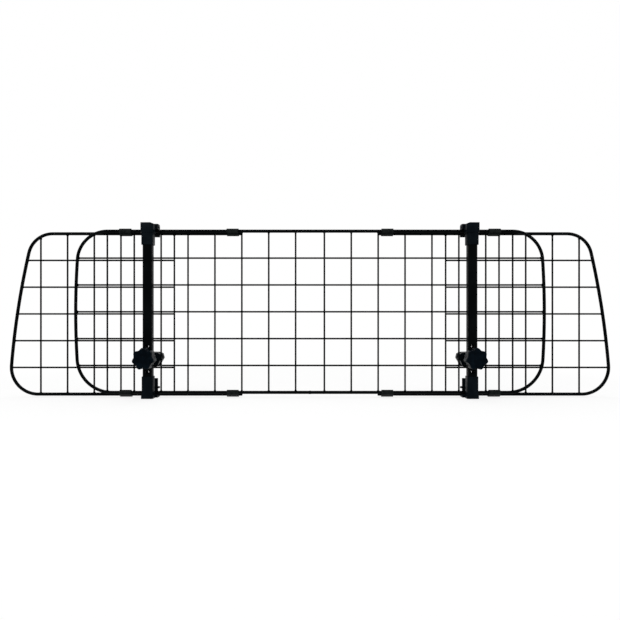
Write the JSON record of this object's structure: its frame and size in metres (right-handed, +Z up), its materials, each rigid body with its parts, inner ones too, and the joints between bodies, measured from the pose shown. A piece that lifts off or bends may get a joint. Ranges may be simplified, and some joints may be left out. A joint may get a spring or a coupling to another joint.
{
  "type": "car dog guard",
  "caption": "Wire mesh guard that keeps a dog in a car boot, with sliding side panels and uprights that clamp to headrest stems.",
  "frame": {"origin": "centre of the object's box in X and Y, at the floor that the feet stand on", "axes": "+X to the right along the width, +Y from the boot towards the seats, +Z up"},
  "size_m": [1.1228, 0.1076, 0.322],
  "materials": {
    "powder_coat": "satin black powder coat",
    "hook_plastic": "fine moulded black",
    "clip_plastic": "moulded black",
    "knob_plastic": "moulded black with a fine grain",
    "zinc_plate": "bright zinc plate"
  },
  "bodies": {
    "centre": {"centre_frame": "powder_coat", "centre_mesh": "powder_coat", "left_outer_top_clip": "clip_plastic", "left_outer_bottom_clip": "clip_plastic", "right_outer_top_clip": "clip_plastic", "right_outer_bottom_clip": "clip_plastic"},
    "left_side": {"left_side_frame": "powder_coat", "left_side_mesh": "powder_coat", "left_inner_top_clip": "clip_plastic", "left_inner_bottom_clip": "clip_plastic"},
    "left_upright": {"left_post": "powder_coat", "left_top_hook": "hook_plastic", "left_bottom_hook": "hook_plastic", "left_washer": "zinc_plate", "left_spacer": "zinc_plate"},
    "left_knob_turning": {"left_knob": "knob_plastic", "left_knob_nut": "zinc_plate"},
    "left_clamp": {"left_front_jaw": "hook_plastic"},
    "left_clamp_rear": {"left_rear_jaw": "hook_plastic", "left_clamp_bolt": "zinc_plate"},
    "right_side": {"right_side_frame": "powder_coat", "right_side_mesh": "powder_coat", "right_inner_top_clip": "clip_plastic", "right_inner_bottom_clip": "clip_plastic"},
    "right_upright": {"right_post": "powder_coat", "right_top_hook": "hook_plastic", "right_bottom_hook": "hook_plastic", "right_washer": "zinc_plate", "right_spacer": "zinc_plate"},
    "right_knob_turning": {"right_knob": "knob_plastic", "right_knob_nut": "zinc_plate"},
    "right_clamp": {"right_front_jaw": "hook_plastic"},
    "right_clamp_rear": {"right_rear_jaw": "hook_plastic", "right_clamp_bolt": "zinc_plate"}
  },
  "joints": [
    {"name": "left_side_slide", "type": "slide", "parent": "centre", "child": "left_side", "axis": [-1, 0, 0], "range_m": [-0.0004, 0.026]},
    {"name": "left_upright_slide", "type": "slide", "parent": "centre", "child": "left_upright", "axis": [1, 0, 0], "range_m": [-0.0004, 0.01]},
    {"name": "left_knob_turn", "type": "hinge", "parent": "left_upright", "child": "left_knob_turning", "pos_m": [-0.2975, -0.0402, 0.0745], "axis": [0, -1, 0], "range_deg": [-1476, 2196]},
    {"name": "left_clamp_swivel", "type": "hinge", "parent": "left_upright", "child": "left_clamp", "pos_m": [-0.2975, 0.0238, 0.0745], "axis": [0, 1, 0], "continuous": true},
    {"name": "left_clamp_grip", "type": "slide", "parent": "left_clamp", "child": "left_clamp_rear", "axis": [0, 1, 0], "range_m": [-0.004, 0.006]},
    {"name": "right_side_slide", "type": "slide", "parent": "centre", "child": "right_side", "axis": [1, 0, 0], "range_m": [-0.0004, 0.026]},
    {"name": "right_upright_slide", "type": "slide", "parent": "centre", "child": "right_upright", "axis": [-1, 0, 0], "range_m": [-0.0004, 0.01]},
    {"name": "right_knob_turn", "type": "hinge", "parent": "right_upright", "child": "right_knob_turning", "pos_m": [0.2975, -0.0402, 0.0745], "axis": [0, -1, 0], "range_deg": [-1476, 2196]},
    {"name": "right_clamp_swivel", "type": "hinge", "parent": "right_upright", "child": "right_clamp", "pos_m": [0.2975, 0.0238, 0.0745], "axis": [0, 1, 0], "continuous": true},
    {"name": "right_clamp_grip", "type": "slide", "parent": "right_clamp", "child": "right_clamp_rear", "axis": [0, 1, 0], "range_m": [-0.004, 0.006]}
  ],
  "couplings": [
    {"joint": "left_knob_turn", "follows": "left_clamp_grip", "rad_per_m": 6283.2},
    {"joint": "right_knob_turn", "follows": "right_clamp_grip", "rad_per_m": 6283.2}
  ]
}
